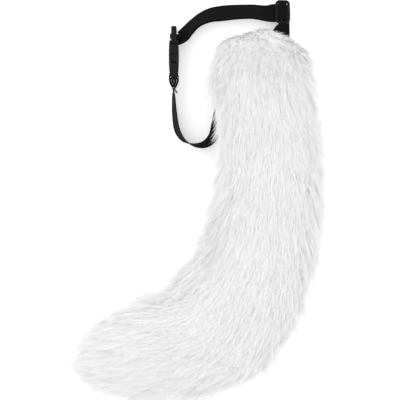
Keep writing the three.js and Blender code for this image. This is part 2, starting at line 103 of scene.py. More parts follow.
class SmoothPath:  # a smooth curve through points, walked by station or by length
    def __init__(self, points):
        given = [Vector(p) for p in points]
        self.spans = len(given) - 1
        self.points = [2 * given[0] - given[1], *given, 2 * given[-1] - given[-2]]
        self.steps = 200
        places = [self.at(i / self.steps) for i in range(self.steps + 1)]
        self.lengths = [0.0]
        for a, b in zip(places, places[1:]):
            self.lengths.append(self.lengths[-1] + (b - a).length)
        self.length = self.lengths[-1]

    def at(self, t):
        place = clamp(t) * self.spans
        span = min(int(place), self.spans - 1)
        u = place - span
        a, b, c, d = self.points[span : span + 4]
        stepBC = (c - b).length ** 0.5
        if stepBC < 1e-4:
            stepBC = 1.0
        stepAB = (b - a).length ** 0.5
        stepCD = (d - c).length ** 0.5
        if stepAB < 1e-4:
            stepAB = stepBC
        if stepCD < 1e-4:
            stepCD = stepBC
        leave = ((b - a) / stepAB - (c - a) / (stepAB + stepBC) + (c - b) / stepBC) * stepBC
        arrive = ((c - b) / stepBC - (d - b) / (stepBC + stepCD) + (d - c) / stepCD) * stepBC
        squared = (3 * (c - b) - 2 * leave - arrive) * u**2
        return b + leave * u + squared + (2 * (b - c) + leave + arrive) * u**3

    def heading(self, t):
        return (self.at(min(t + 1e-4, 1)) - self.at(max(t - 1e-4, 0))).normalized()

    def station(self, share):  # the station at a share of the whole length
        wanted = clamp(share) * self.length
        high = next((i for i, reached in enumerate(self.lengths) if reached >= wanted), self.steps)
        if high == 0:
            return 0.0
        low = high - 1
        past = (wanted - self.lengths[low]) / (self.lengths[high] - self.lengths[low])
        return (low + past) / self.steps


# Shader helpers


def newMaterial(name, **sockets):
    material = bpy.data.materials.new(name)
    material.use_nodes = True
    shader = material.node_tree.nodes["Principled BSDF"]
    for socket, value in sockets.items():
        shader.inputs[socket.replace("_", " ")].default_value = value
    return material, material.node_tree, shader


def addNode(tree, kind, inputs=None, **settings):
    node = tree.nodes.new(kind)
    for name, value in settings.items():
        setattr(node, name, value)
    for name, value in (inputs or {}).items():
        node.inputs[name].default_value = value
    return node


def join(tree, *ends):
    for source, target in ends:
        tree.links.new(source, target)


def colourRamp(tree, factor, low, high, start=0.3, end=0.7):
    ramp = addNode(tree, "ShaderNodeValToRGB")
    for stop, place, colour in zip(ramp.color_ramp.elements, (start, end), (low, high)):
        stop.position = place
        stop.color = (*colour, 1)
    join(tree, (factor, ramp.inputs["Fac"]))
    return ramp.outputs["Color"]


def furMaterial():
    material, tree, shader = newMaterial(
        "White fur", Roughness=0.7, Specular_IOR_Level=0.15, Sheen_Weight=0.1, Sheen_Roughness=0.5
    )
    place = addNode(tree, "ShaderNodeTexCoord")
    cloud = addNode(tree, "ShaderNodeTexNoise", {"Scale": 22, "Detail": 3})
    join(tree, (place.outputs["Object"], cloud.inputs["Vector"]))
    join(tree, (colourRamp(tree, cloud.outputs["Fac"], (0.9, 0.9, 0.902), (0.92, 0.92, 0.922)),
                shader.inputs["Base Color"]))
    return material


def webbingMaterial():
    material, tree, shader = newMaterial(
        "Black webbing", Roughness=0.85, Specular_IOR_Level=0.08
    )
    place = addNode(tree, "ShaderNodeUVMap", uv_map="weave")
    parts = addNode(tree, "ShaderNodeSeparateXYZ")
    join(tree, (place.outputs["UV"], parts.inputs["Vector"]))

    def wave(axis, perMillimetre, shift=None):  # one run of threads, 0 between them and 1 on them
        turns = addNode(tree, "ShaderNodeMath", {1: perMillimetre * 1000 * math.pi}, operation="MULTIPLY")
        join(tree, (parts.outputs[axis], turns.inputs[0]))
        angle = turns.outputs[0]
        if shift is not None:
            moved = addNode(tree, "ShaderNodeMath", operation="ADD")
            join(tree, (angle, moved.inputs[0]), (shift, moved.inputs[1]))
            angle = moved.outputs[0]
        sine = addNode(tree, "ShaderNodeMath", operation="SINE")
        height = addNode(tree, "ShaderNodeMath", operation="ABSOLUTE")
        join(tree, (angle, sine.inputs[0]), (sine.outputs[0], height.inputs[0]))
        return height.outputs[0]

    columns = wave("X", 0.56)
    lean = addNode(tree, "ShaderNodeMath", {1: 1.3}, operation="MULTIPLY")
    join(tree, (columns, lean.inputs[0]))
    picks = wave("Y", 0.8, lean.outputs[0])
    both = addNode(tree, "ShaderNodeMath", operation="MULTIPLY")
    join(tree, (columns, both.inputs[0]), (picks, both.inputs[1]))
    fibre = addNode(tree, "ShaderNodeTexNoise", {"Scale": 1800, "Detail": 2})
    join(tree, (place.outputs["UV"], fibre.inputs["Vector"]))
    height = addNode(tree, "ShaderNodeMath", {1: 0.25}, operation="MULTIPLY_ADD")
    join(tree, (fibre.outputs["Fac"], height.inputs[0]), (both.outputs[0], height.inputs[2]))
    bump = addNode(tree, "ShaderNodeBump", {"Strength": 0.6, "Distance": 0.0003})
    # The base colour follows the weave's height, darker between the threads than on their tops: painted
    # shade in the weave's hollows.
    join(
        tree,
        (height.outputs[0], bump.inputs["Height"]),
        (bump.outputs["Normal"], shader.inputs["Normal"]),
        (colourRamp(tree, both.outputs[0], (0.002, 0.002, 0.0022), (0.006, 0.006, 0.0064), 0.05, 0.7),
         shader.inputs["Base Color"]),
    )
    return material


def plasticMaterial():
    material, tree, shader = newMaterial("Moulded black plastic", Specular_IOR_Level=0.12)
    place = addNode(tree, "ShaderNodeTexCoord")
    grain = addNode(tree, "ShaderNodeTexNoise", {"Scale": 2600, "Detail": 2})
    wear = addNode(tree, "ShaderNodeTexNoise", {"Scale": 120, "Detail": 4})
    rough = addNode(tree, "ShaderNodeMapRange", {"To Min": 0.36, "To Max": 0.5})
    bump = addNode(tree, "ShaderNodeBump", {"Strength": 0.25, "Distance": 0.0001})
    join(
        tree,
        (place.outputs["Object"], grain.inputs["Vector"]),
        (place.outputs["Object"], wear.inputs["Vector"]),
        (wear.outputs["Fac"], rough.inputs["Value"]),
        (rough.outputs["Result"], shader.inputs["Roughness"]),
        (grain.outputs["Fac"], bump.inputs["Height"]),
        (bump.outputs["Normal"], shader.inputs["Normal"]),
        (colourRamp(tree, wear.outputs["Fac"], (0.004, 0.004, 0.0043), (0.007, 0.007, 0.0075)),
         shader.inputs["Base Color"]),
    )
    return material


def threadMaterial():
    material, tree, shader = newMaterial("Black thread", Roughness=0.6, Specular_IOR_Level=0.3)
    place = addNode(tree, "ShaderNodeTexCoord")
    twist = addNode(tree, "ShaderNodeTexNoise", {"Scale": 900, "Detail": 2})
    join(
        tree,
        (place.outputs["Object"], twist.inputs["Vector"]),
        (colourRamp(tree, twist.outputs["Fac"], (0.006, 0.006, 0.007), (0.02, 0.02, 0.021)),
         shader.inputs["Base Color"]),
    )
    return material


finishes = {
    "fur": furMaterial(),
    "webbing": webbingMaterial(),
    "plastic": plasticMaterial(),
    "thread": threadMaterial(),
}
print("materials made")


# Mesh helpers


def loftFaces(rings, around):
    faces = []
    for r in range(rings - 1):
        for i in range(around):
            a, b = r * around + i, r * around + (i + 1) % around
            faces.append((a, b, b + around, a + around))
    return faces


def addPiece(name, mesh, finish):
    piece = bpy.data.objects.new(name, mesh)
    scene.collection.objects.link(piece)
    mesh.materials.clear()
    mesh.materials.append(finishes[finish])
    return piece


def outwardFaces(mesh):
    work = bmesh.new()
    work.from_mesh(mesh)
    bmesh.ops.recalc_face_normals(work, faces=work.faces)
    work.to_mesh(mesh)
    work.free()


# Webbing

webbing = {
    "width": 25,
    "thick": 1.4,
    "slack": 1.2,  # the slots' length over the webbing's width
    "gap": 0.3,
    "bendRoom": 0.5,  # extra clearance where webbing turns a corner
    "floorGap": 0.4,
    "edgeBead": 0.12,  # how far the woven edge stands proud of the flat
    "ribDepth": 0.05,  # of the ribs across the webbing
    "ringsPerSpan": 9,
}
slider = {
    "x": 23.4,
    "y": 18.7,
    "rise": 13.2,
    "thick": 2.8,
    "middleBar": 3,
    "slot": 5.2,
    "slotClosed": 0.8,  # how far the outer bars reach in over the slots
    "slotRoom": 0.1,  # what is left between the webbing's edges and the slots' ends
    "lean": 21,
    "hold": 12,  # from its centre, where the webbing's two layers are clear of it
    "runJoined": 40,  # from its centre, where the two layers lie on each other
    "edgeRound": 0.45,
}
loop = {
    "drop": 73,
    "tuck": -22,
    "bulge": 0.4,
    "sewn": 13.5,
    "runRise": 4,
    "runStep": 9,
    "barLead": 8,  # from the bar, where the run's two layers part
    "barMeet": 6,
    "barSlack": 0.5,  # how loosely the webbing goes round the cross bar
    "flareLength": 5.5,
    "flareSpread": 3.2,
}

# The doubled run, as shares of the way from the slider to the buckle's cross bar: along, down,
# and the lean in degrees
topRun = [
    (0.158, 0.01, 36), (0.25, -0.005, 42), (0.34, -0.005, 43), (0.44, 0.013, 41),
    (0.524, 0.044, 38), (0.59, 0.078, 39), (0.652, 0.122, 43), (0.726, 0.243, 50),
    (0.799, 0.443, 56), (0.854, 0.673, 56), (0.902, 0.9, 50), (0.938, 1.08, 50),
    (0.955, 1.1, 54), (0.968, 1.06, 76), (0.98, 1.02, 88),
]
# The U of the short strap: across towards the tuck point, down in loop drops, lean in degrees,
# and how much of the buckle's rise it has
lowerRun = [
    (-0.004, 0.14, 82, 0.85), (0.01, 0.465, 76, 0.35), (0.045, 0.73, 74, 0.08), (0.118, 0.89, 80, 0),
    (0.205, 0.963, 91, 0), (0.33, 1.0, 104, 0), (0.438, 0.97, 114, 0), (0.535, 0.85, 122, 0),
    (0.612, 0.62, 140, 0), (0.672, 0.377, 156, 0), (0.725, 0.15, 168, 0), (0.826, -0.13, 176, 0),
    (0.93, -0.34, 180, 0),
]
# The stub from under the root to the slider, in webbing widths: right, down, turn and lean in degrees
stubRows = [
    (-0.42, 2.2, 180, 0), (-0.3, 1.8, 180, 0), (-0.15, 1.43, 180, 2), (-0.08, 1.03, 181, 24),
    (0.02, 0.62, 198, 44), (0.15, 0.24, 235, 35),
]

pitch = webbing["thick"] + webbing["gap"]  # from layer to layer
sliderCentre = Vector((slider["x"], slider["y"], slider["rise"]))
barDown = buckle["plugEndBar"] + buckle["plugSlot"] + buckle["plugBarThick"] / 2
buckleRise = webbing["floorGap"] + buckle["width"] / 2
barCentre = Vector((buckle["middle"], buckle["top"] - barDown, buckleRise))
underBar = slider["thick"] / 2 + webbing["gap"] + webbing["thick"] / 2 + webbing["bendRoom"]
barSide = buckle["plugBarThick"] / 2 + webbing["gap"] + webbing["thick"] / 2 + loop["barSlack"]
upward = Vector((0, 0, 1))


def leaned(flat, lean):
    return flat * math.cos(math.radians(lean)) + upward * math.sin(math.radians(lean))


def restHeight(lean):
    across, through = abs(math.sin(math.radians(lean))), abs(math.cos(math.radians(lean)))
    return webbing["floorGap"] + webbing["width"] / 2 * across + webbing["thick"] / 2 * through


def layerOff(distance, upper, length):  # how far a layer of the doubled run stands off the middle line
    atSlider = -underBar if upper else -underBar - pitch
    free = pitch / 2 if upper else -pitch / 2
    atBar = barSide if upper else -barSide
    start = mix(atSlider, free, smoothStep(distance, slider["hold"], slider["runJoined"]))
    return mix(start, atBar, smoothStep(distance, length - loop["barLead"], length - loop["barMeet"]))


class MiddleLine:  # of the doubled run, measured in millimetres from the slider's centre
    def __init__(self):
        run = barCentre - sliderCentre
        rows = [(share, 0, slider["lean"]) for share in (0, 0.04, 0.08)] + topRun + [(1, 1, 90)]
        places = []
        for i, (along, down, lean) in enumerate(rows):
            below = -min(layerOff(run.length * along, False, run.length), 0)
            height = restHeight(lean) + below * math.cos(math.radians(lean)) + loop["runRise"] * along
            if down == 0:
                height = slider["rise"]
            if i == len(rows) - 1:
                height = buckleRise
            places.append((slider["x"] + run.x * along, slider["y"] + run.y * down, height))
        self.line = SmoothPath(places)
        self.leans = SmoothPath([(row[2], 0, 0) for row in rows])
        self.length = self.line.length

    def frameAt(self, distance, off):
        t = self.line.station(clamp(distance / self.length))
        ahead = Vector((-1, 0, 0)) if distance < 0 else self.line.heading(t)
        side = leaned(Vector((-ahead.y, ahead.x, 0)).normalized(), self.leans.at(t).x)
        face = ahead.cross(side).normalized()
        return self.line.at(t) + ahead * min(distance, 0) + face * off, side


middle = MiddleLine()


def weaveFrames(upper):  # over the slider's middle bar
    off = pitch if upper else 0
    slot = slider["middleBar"] / 2 + webbing["gap"] + webbing["thick"] / 2
    slot += pitch + webbing["bendRoom"] if upper else 0
    top = slider["thick"] / 2 + webbing["gap"] + webbing["thick"] / 2 + off
    bottom = -underBar - webbing["bendRoom"] if upper else -underBar - pitch
    rows = [
        (-slot, bottom if upper else -slider["thick"] / 2), (-slot, 0.1 * top), (-0.95 * slot, 0.8 * top),
        (-0.6 * slot, 1.02 * top), (0, 1.04 * top), (0.6 * slot, 1.02 * top), (0.95 * slot, 0.8 * top),
        (slot, 0.1 * top), (slot + 0.3, 0.6 * bottom), (slot + 2.2, bottom),
    ]
    return [middle.frameAt(distance, height) for distance, height in rows]


def strapLongFrames():
    frames = []
    for right, down, turn, lean in stubRows:
        flat = Vector((math.cos(math.radians(turn)), math.sin(math.radians(turn)), 0))
        x = slider["x"] + right * webbing["width"]
        y = slider["y"] - down * webbing["width"]
        frames.append((Vector((x, y, restHeight(lean) + webbing["gap"])), leaned(flat, lean)))
    part, meet = middle.length - loop["barLead"], middle.length - loop["barMeet"]
    stops = list(np.arange(slider["hold"], part - loop["runStep"] / 3, loop["runStep"]))
    stops += [part, (part + meet) / 2, meet]
    layers = [
        [middle.frameAt(d, layerOff(d, upper, middle.length)) for d in stops] for upper in (True, False)
    ]
    side = middle.frameAt(middle.length, 0)[1]
    reach = buckle["plugBarDeep"] / 2 + webbing["gap"] + webbing["thick"] / 2 + webbing["bendRoom"]
    turnFrames = []
    for angle in range(0, 181, 30):
        a = math.radians(angle)
        square = math.copysign(math.sqrt(abs(math.cos(a))), math.cos(a))
        turnFrames.append((barCentre + Vector((-reach * math.sin(a), barSide * square, 0)), side))
    back = layers[1][::-1] + weaveFrames(False)[::-1]
    return frames + weaveFrames(True) + layers[0] + turnFrames + back


socketTop = buckle["top"] - buckle["plugLength"] - buckle["joinGap"]
socketEnd = socketTop - buckle["socketLength"]
endBarY = socketEnd + buckle["socketEndBar"] / 2
sewnY = socketEnd - loop["sewn"]


def strapShortFrames():
    def at(x, y):
        return Vector((buckle["middle"] + x, y, buckleRise)), upward.copy()

    half = buckle["socketEndThick"] / 2 + webbing["gap"] + webbing["thick"] / 2
    wide = half + loop["bulge"]
    over = endBarY + buckle["socketEndBar"] / 2 + webbing["gap"] * 2 + webbing["thick"] / 2

    def joint(hand):
        return [
            at(hand * pitch / 2, sewnY),
            at(hand * half * 0.62, sewnY + loop["sewn"] * 0.28),
            at(hand * wide * 0.92, sewnY + loop["sewn"] * 0.62),
            at(hand * wide, socketEnd),
            at(hand * half, endBarY + buckle["socketEndBar"] * 0.35),
            at(hand * half * 0.95, over - webbing["bendRoom"]),
        ]

    flare = [
        at(pitch / 2 + loop["flareSpread"], sewnY - loop["flareLength"]),
        at(pitch / 2 + loop["flareSpread"] * 0.4, sewnY - loop["flareLength"] * 0.5),
    ]
    across = [at(half * 0.6, over), at(0, over), at(-half * 0.6, over)]
    places = [
        Vector((
            mix(buckle["middle"], loop["tuck"], right),
            sewnY - loop["drop"] * down,
            mix(restHeight(lean), buckleRise, rise),
        ))
        for right, down, lean, rise in lowerRun
    ]
    line = SmoothPath([Vector((buckle["middle"], sewnY, 0)), *places])
    run = []
    for i, (place, row) in enumerate(zip(places, lowerRun)):
        ahead = line.heading((i + 1) / len(places))
        run.append((place, leaned(Vector((-ahead.y, ahead.x, 0)).normalized(), row[2])))
    return flare + joint(1) + across + joint(-1)[::-1] + run


def ribbonProfile():  # across and through, round the webbing's section from its inner edge
    half, bead = webbing["width"] / 2, webbing["thick"] / 2
    thin = bead - webbing["edgeBead"]
    columns = [(-half, 0.3 * bead), (-half + 0.25, 0.8 * bead), (-half + 0.8, bead), (-half + 1.5, thin)]
    inner = [(a, thin) for a in np.linspace(-half + 4, half - 4, 5)]
    columns = columns + inner + [(-a, b) for a, b in reversed(columns)]
    return [(a, -b) for a, b in columns] + [(a, b) for a, b in reversed(columns)]


def makeStrap(name, frames, replaced):
    places = SmoothPath([f[0] for f in frames])
    sides = SmoothPath([f[1] for f in frames])
    steps = (len(frames) - 1) * webbing["ringsPerSpan"]
    profile = ribbonProfile()
    points, weave, travelled, last = [], [], 0.0, None
    for i in range(steps + 1):
        t = i / steps
        centre = places.at(t)
        side = sides.at(t).normalized()
        face = places.heading(t).cross(side).normalized()
        travelled += (centre - last).length if last else 0
        last = centre
        rib = 1 - webbing["ribDepth"] * (i % 2)
        for a, b in profile:
            points.append(toFrame(centre + side * a + face * b * rib))
            weave.append(((a + webbing["width"] / 2) * mm, travelled * mm))
    around = len(profile)
    faces = loftFaces(steps + 1, around)
    faces.append(tuple(range(around))[::-1])
    faces.append(tuple(steps * around + i for i in range(around)))
    mesh = bpy.data.meshes.new(name)
    mesh.from_pydata(points, [], faces)
    layer = mesh.uv_layers.new(name="weave")
    corners = np.empty(len(mesh.loops), np.int32)
    mesh.loops.foreach_get("vertex_index", corners)
    layer.data.foreach_set("uv", np.array(weave)[corners].ravel())
    outwardFaces(mesh)
    mesh.polygons.foreach_set("use_smooth", [len(p.vertices) == 4 for p in mesh.polygons])
    strap = addPiece(name, mesh, "webbing")
    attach(strap, "root")
    if replaced:
        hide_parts(replaced)
    print(name, "is", round(travelled), "mm long")
    return strap


fold = {
    "step": 1.7,  # from layer to layer
    "tops": 0.4,  # below the socket's end
    "lows": [1.4, 3.4, 6.2],  # above the sewn joint, for the inner layers first
    "turn": 0.8,  # of each fold's height
}


def foldFrames():  # the webbing's end, folded up and down inside the sewn loop
    layers = [hand * (k + 0.5) for hand in (-1, 1) for k in range(len(fold["lows"]))]
    frames = []
    for i, layer in enumerate(sorted(layers)):
        low = sewnY + fold["lows"][int(abs(layer))]
        high = socketEnd - fold["tops"]
        ends = [(0, low + fold["turn"]), (0, high - fold["turn"]), (0.5, high)]
        if i % 2:
            ends = [(0, high - fold["turn"]), (0, low + fold["turn"]), (0.5, low)]
        if i == len(layers) - 1:
            ends.pop()
        for across, y in ends:
            x = buckle["middle"] + (layer + across) * fold["step"]
            frames.append((Vector((x, y, buckleRise)), upward.copy()))
    return frames


makeStrap("webbing_long", strapLongFrames(), "strap_long")
makeStrap("webbing_short", strapShortFrames(), "strap_short")
makeStrap("webbing_fold", foldFrames(), None)


# Slider and buckle: the moulded pieces with their edges rounded


def closeSlots(work):  # the slots' outer edges and ends come in to the webbing
    turned = Matrix.Rotation(math.radians(slider["lean"]), 4, "X")
    centre = toFrame(sliderCentre)
    slotEdge = slider["middleBar"] / 2 + slider["slot"]
    slotEnd = (webbing["width"] + webbing["slack"]) / 2
    near = 0.05
    for v in work.verts:
        place = turned @ (v.co - centre) / mm
        atEdge, atEnd = abs(abs(place.x) - slotEdge) < near, abs(abs(place.y) - slotEnd) < near
        if atEdge and abs(place.y) < slotEnd + near:
            place.x -= math.copysign(slider["slotClosed"], place.x)
        if atEnd and abs(place.x) < slotEdge + near:
            place.y -= math.copysign(webbing["slack"] / 2 - slider["slotRoom"], place.y)
        v.co = centre + turned.inverted() @ place * mm


def makeMoulded(name, node, edgeRound):
    work = bmesh.new()
    work.from_mesh(frame["nodes"][node].data)
    bmesh.ops.remove_doubles(work, verts=work.verts, dist=2e-6)
    flatLimit = math.radians(1.5)
    bmesh.ops.dissolve_limit(work, angle_limit=flatLimit, verts=work.verts, edges=work.edges)
    if node == "slider":
        closeSlots(work)
    mesh = bpy.data.meshes.new(name)
    work.to_mesh(mesh)
    work.free()
    piece = addPiece(name, mesh, "plastic")
    bevel = piece.modifiers.new("Rounded edges", "BEVEL")
    bevel.width = edgeRound * mm
    bevel.segments = 3
    bevel.limit_method = "ANGLE"
    bevel.angle_limit = math.radians(30)
    bevel.harden_normals = True
    mesh.polygons.foreach_set("use_smooth", [True] * len(mesh.polygons))
    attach(piece, "root")
    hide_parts(node)
    return piece


makeMoulded("slider_moulded", "slider", slider["edgeRound"])
makeMoulded("plug_moulded", "buckle_plug", buckle["edgeRound"])
makeMoulded("socket_moulded", "buckle_socket", buckle["edgeRound"])
print("slider and buckle rounded")


# Bar tack: the rows of stitches that close the sewn loop, on both of its faces

tack = {
    "rows": 2,
    "rowStep": 2.6,
    "below": 0.1,  # of the first row under the sewn joint's middle, in row steps
    "stitches": 20,
    "stitchStep": 1.1,
    "stitchLength": 2.3,
    "thread": 0.24,  # the thread's radius
    "proud": 0.6,  # of a thread's radius, how far it stands off the webbing
    "slant": 0.42,  # radians, one way and then the other
}


def stitchMesh():  # one stitch along Y, thickest in the middle
    around = 8
    rings = [(-0.5, 0.2), (-0.4, 0.8), (0, 1), (0.4, 0.8), (0.5, 0.2)]
    points = []
    for along, thick in rings:
        for k in range(around):
            a = k / around * 2 * math.pi
            points.append((
                math.cos(a) * thick * tack["thread"] * mm, along * tack["stitchLength"] * mm,
                math.sin(a) * thick * tack["thread"] * mm,
            ))
    faces = loftFaces(len(rings), around)
    faces += [tuple(range(around))[::-1], tuple((len(rings) - 1) * around + k for k in range(around))]
    mesh = bpy.data.meshes.new("stitch")
    mesh.from_pydata(points, [], faces)
    outwardFaces(mesh)
    return mesh


def tackTree():
    tree = bpy.data.node_groups.new("Row of stitches", "GeometryNodeTree")
    for name, kind in (
        ("Stitch", "NodeSocketObject"), ("Thread", "NodeSocketMaterial"), ("Count", "NodeSocketInt"),
        ("Start", "NodeSocketVector"), ("Step", "NodeSocketVector"), ("Slant", "NodeSocketFloat"),
    ):
        tree.interface.new_socket(name, in_out="INPUT", socket_type=kind)
    tree.interface.new_socket("Stitches", in_out="OUTPUT", socket_type="NodeSocketGeometry")
    given = addNode(tree, "NodeGroupInput")
    result = addNode(tree, "NodeGroupOutput")
    line = addNode(tree, "GeometryNodeMeshLine", mode="OFFSET")
    index = addNode(tree, "GeometryNodeInputIndex")
    odd = addNode(tree, "ShaderNodeMath", {1: 2.0}, operation="MODULO")
    side = addNode(tree, "ShaderNodeMath", {1: 2.0, 2: -1.0}, operation="MULTIPLY_ADD")
    lean = addNode(tree, "ShaderNodeMath", operation="MULTIPLY")
    turn = addNode(tree, "ShaderNodeCombineXYZ")
    shape = addNode(tree, "GeometryNodeObjectInfo", {"As Instance": True})
    sew = addNode(tree, "GeometryNodeInstanceOnPoints")
    real = addNode(tree, "GeometryNodeRealizeInstances")
    paint = addNode(tree, "GeometryNodeSetMaterial")
    join(
        tree,
        (given.outputs["Count"], line.inputs["Count"]),
        (given.outputs["Start"], line.inputs["Start Location"]),
        (given.outputs["Step"], line.inputs["Offset"]),
        (index.outputs[0], odd.inputs[0]),
        (odd.outputs[0], side.inputs[0]),
        (side.outputs[0], lean.inputs[0]),
        (given.outputs["Slant"], lean.inputs[1]),
        (lean.outputs[0], turn.inputs["X"]),
        (given.outputs["Stitch"], shape.inputs["Object"]),
        (line.outputs["Mesh"], sew.inputs["Points"]),
        (shape.outputs["Geometry"], sew.inputs["Instance"]),
        (turn.outputs["Vector"], sew.inputs["Rotation"]),
        (sew.outputs["Instances"], real.inputs["Geometry"]),
        (real.outputs["Geometry"], paint.inputs["Geometry"]),
        (given.outputs["Thread"], paint.inputs["Material"]),
        (paint.outputs["Geometry"], result.inputs["Stitches"]),
    )
    return tree


def setInputs(modifier, values):
    for item in modifier.node_group.interface.items_tree:
        if item.item_type == "SOCKET" and item.in_out == "INPUT" and item.name in values:
            modifier[item.identifier] = values[item.name]


rowOfStitches = tackTree()
stitch = bpy.data.objects.new("stitch", stitchMesh())
scene.collection.objects.link(stitch)
for hand, face in ((-1, "left"), (1, "right")):
    for row in range(tack["rows"]):
        name = f"tack_{face}_{row}"
        x = buckle["middle"] + hand * (pitch / 2 + webbing["thick"] / 2 + tack["thread"] * tack["proud"])
        z = buckleRise - (tack["stitches"] - 1) / 2 * tack["stitchStep"]
        start = toFrame((x, sewnY + (row - tack["below"]) * tack["rowStep"], z))
        sewn = bpy.data.objects.new(name, bpy.data.meshes.new(name))
        scene.collection.objects.link(sewn)
        modifier = sewn.modifiers.new("Row of stitches", "NODES")
        modifier.node_group = rowOfStitches
        setInputs(modifier, {
            "Stitch": stitch, "Thread": finishes["thread"], "Count": tack["stitches"], "Start": start,
            "Step": Vector((0, 0, tack["stitchStep"] * mm)), "Slant": tack["slant"],
        })
        made = bpy.data.meshes.new_from_object(sewn.evaluated_get(bpy.context.evaluated_depsgraph_get()))
        bpy.data.objects.remove(sewn)
        made.name = name
        made.polygons.foreach_set("use_smooth", [True] * len(made.polygons))
        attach(addPiece(name, made, "thread"), "root")
bpy.data.objects.remove(stitch)
print("loop sewn")


# Fur tail

tail = {
    "height": 476,
    "sweep": 242,
    "width": 141,
    "depth": 112,
    "pile": 11,
    "skinSink": 1,  # how far the fur's backing lies under the stuffed form
    "tuftsPerM2": 118000,
    "wispsPerM2": 20000,  # at the sides, where the outline shows them
    "yaw": 0.08,  # radians either way
    "shortest": 0.78,
    "longest": 1.1,
    "hairsPerTuft": 9,
    "tuftShapes": 12,
    "wispShapes": 4,
    "wispLift": 0.32,  # of a wisp's tip, in hair lengths
    "wispSteep": 0.75,  # the upward part of the skin's outward direction past which there are no wisps
    "underShare": 0.3,  # of the tufts, under the belly
    "tuftSpread": 0.1,  # radius of a tuft's foot, in hair lengths
    "strayAcross": 0.095,  # spread of the hairs' tips, in hair lengths
    "strayUp": 0.035,
    "roll": 0.3,  # spread of the hairs' turn about themselves, in radians
    "hairWidth": 0.015,  # in hair lengths
    "hairRest": 0.8,  # height of the hairs that lie on the floor
    "restSpread": 0.02,  # how much of their depth under it they keep above it
    "skinRest": 0.6,  # height of the backing where it lies on the floor
    "nod": 0.6,  # how much of the yaw the tufts also nod
    "parts": ["fur_root", "fur_upper", "fur_middle", "fur_bend", "fur_tip"],
    "rootComb": 0.5,  # how far the hairs at the root's end are combed up over its dome
    "softShade": 0.7,  # how far the hairs' faces turn up from the skin's own outward direction
    "seed": 11,
}
# Sections from root to tip: along, aside, width, depth, lift, pile
tailRows = [
    (0.006, 0.0, 0.05, 0.08, 0.1, 0.0), (0.02, 0.0, 0.3, 0.24, 0.065, 0.05),
    (0.04, 0.002, 0.58, 0.46, 0.03, 0.1), (0.068, 0.008, 0.84, 0.68, 0.005, 0.3),
    (0.11, 0.015, 0.94, 0.88, -0.02, 0.7), (0.17, 0.008, 0.95, 0.97, -0.04, 1),
    (0.27, -0.01, 0.94, 1.0, -0.05, 1), (0.38, -0.025, 0.95, 1.0, -0.05, 1),
    (0.48, -0.01, 0.98, 1.0, -0.05, 1), (0.57, 0.01, 1.0, 1.0, -0.05, 1),
    (0.645, 0.055, 1.02, 1.0, -0.05, 1), (0.718, 0.12, 1.08, 1.0, -0.05, 1),
    (0.793, 0.226, 1.11, 1.0, -0.05, 1), (0.839, 0.378, 1.03, 1.0, -0.05, 1),
    (0.862, 0.54, 0.98, 0.96, -0.05, 1), (0.878, 0.69, 0.86, 0.88, -0.05, 1),
    (0.892, 0.81, 0.72, 0.76, -0.05, 1), (0.903, 0.9, 0.55, 0.6, -0.04, 0.9),
    (0.909, 0.955, 0.38, 0.44, -0.01, 0.7), (0.911, 0.975, 0.18, 0.28, 0.03, 0.4),
]
# How the pile stands along the tail: share, then degrees off the skin on the outer side, the back and the
# inner side, then the hair's length in millimetres on the same three
napRows = [
    (0.0, 4, 4, 4, 12, 12, 12), (0.035, 14, 5, 8, 16, 14, 12), (0.06, 34, 6, 14, 18, 20, 14),
    (0.1, 38, 8, 44, 22, 28, 24), (0.14, 27, 9, 34, 26, 32, 22), (0.18, 22, 9, 22, 30, 34, 24),
    (0.3, 20, 9, 24, 34, 36, 30), (0.42, 20, 9, 32, 36, 38, 34), (0.55, 20, 9, 28, 38, 38, 38),
    (0.7, 17, 9, 22, 38, 38, 38), (0.82, 17, 10, 14, 36, 36, 34), (0.92, 17, 11, 11, 30, 32, 28),
    (0.97, 17, 13, 12, 22, 24, 20), (1.0, 16, 16, 16, 14, 16, 14),
]

spine = SmoothPath([(-row[1] * tail["sweep"], -row[0] * tail["height"], 0) for row in tailRows])
sizes = SmoothPath([row[2:5] for row in tailRows])
piles = SmoothPath([(row[5], 0, 0) for row in tailRows])


def napAt(share, angle):  # the hair's stand off the skin in radians, and its length in millimetres
    outer, back, inner, longOuter, longBack, longInner = (
        np.interp(share, [r[0] for r in napRows], [r[k] for r in napRows]) for k in range(1, 7)
    )
    sideways = math.cos(angle) ** 4
    stand = back * (1 - sideways) + (outer if math.cos(angle) > 0 else inner) * sideways
    long = longBack * (1 - sideways) + (longOuter if math.cos(angle) > 0 else longInner) * sideways
    return math.radians(stand), long


def makeSkin():
    rings, around = 170, 72
    points, naps, shares, angles = [], [], [], []
    for r in range(rings + 1):
        share = r / rings
        t = spine.station(share)
        width, depth, lift = sizes.at(t)
        stand = tail["pile"] * piles.at(t).x
        sink = tail["skinSink"] * clamp(stand / tail["pile"])
        half = max(width * tail["width"] / 2 - stand - sink, 0.4)
        top = depth * tail["depth"] - stand - sink
        bottom = lift * tail["depth"]
        tall = max((top - bottom) / 2, 0.4)
        nap = spine.heading(t)
        side = Vector((-nap.y, nap.x, 0))
        centre = spine.at(t)
        centre.z = (top + bottom) / 2
        for k in range(around):
            angle = k / around * 2 * math.pi
            place = centre + side * half * math.cos(angle) + upward * tall * math.sin(angle)
            place.z = max(place.z, tail["skinRest"])
            points.append(toFrame(place))
            naps.append(nap)
            shares.append(share)
            angles.append(angle)
    faces = loftFaces(rings + 1, around)
    faces.append(tuple(range(around))[::-1])
    faces.append(tuple(rings * around + i for i in range(around)))
    mesh = bpy.data.meshes.new("fur_backing")
    mesh.from_pydata(points, [], faces)
    outwardFaces(mesh)
    mesh.polygons.foreach_set("use_smooth", [True] * len(mesh.polygons))
    return mesh, naps, shares, angles


def vectorField(mesh, name, values):
    field = mesh.attributes.new(name, "FLOAT_VECTOR", "POINT")
    field.data.foreach_set("vector", np.array(values, np.float32).ravel())


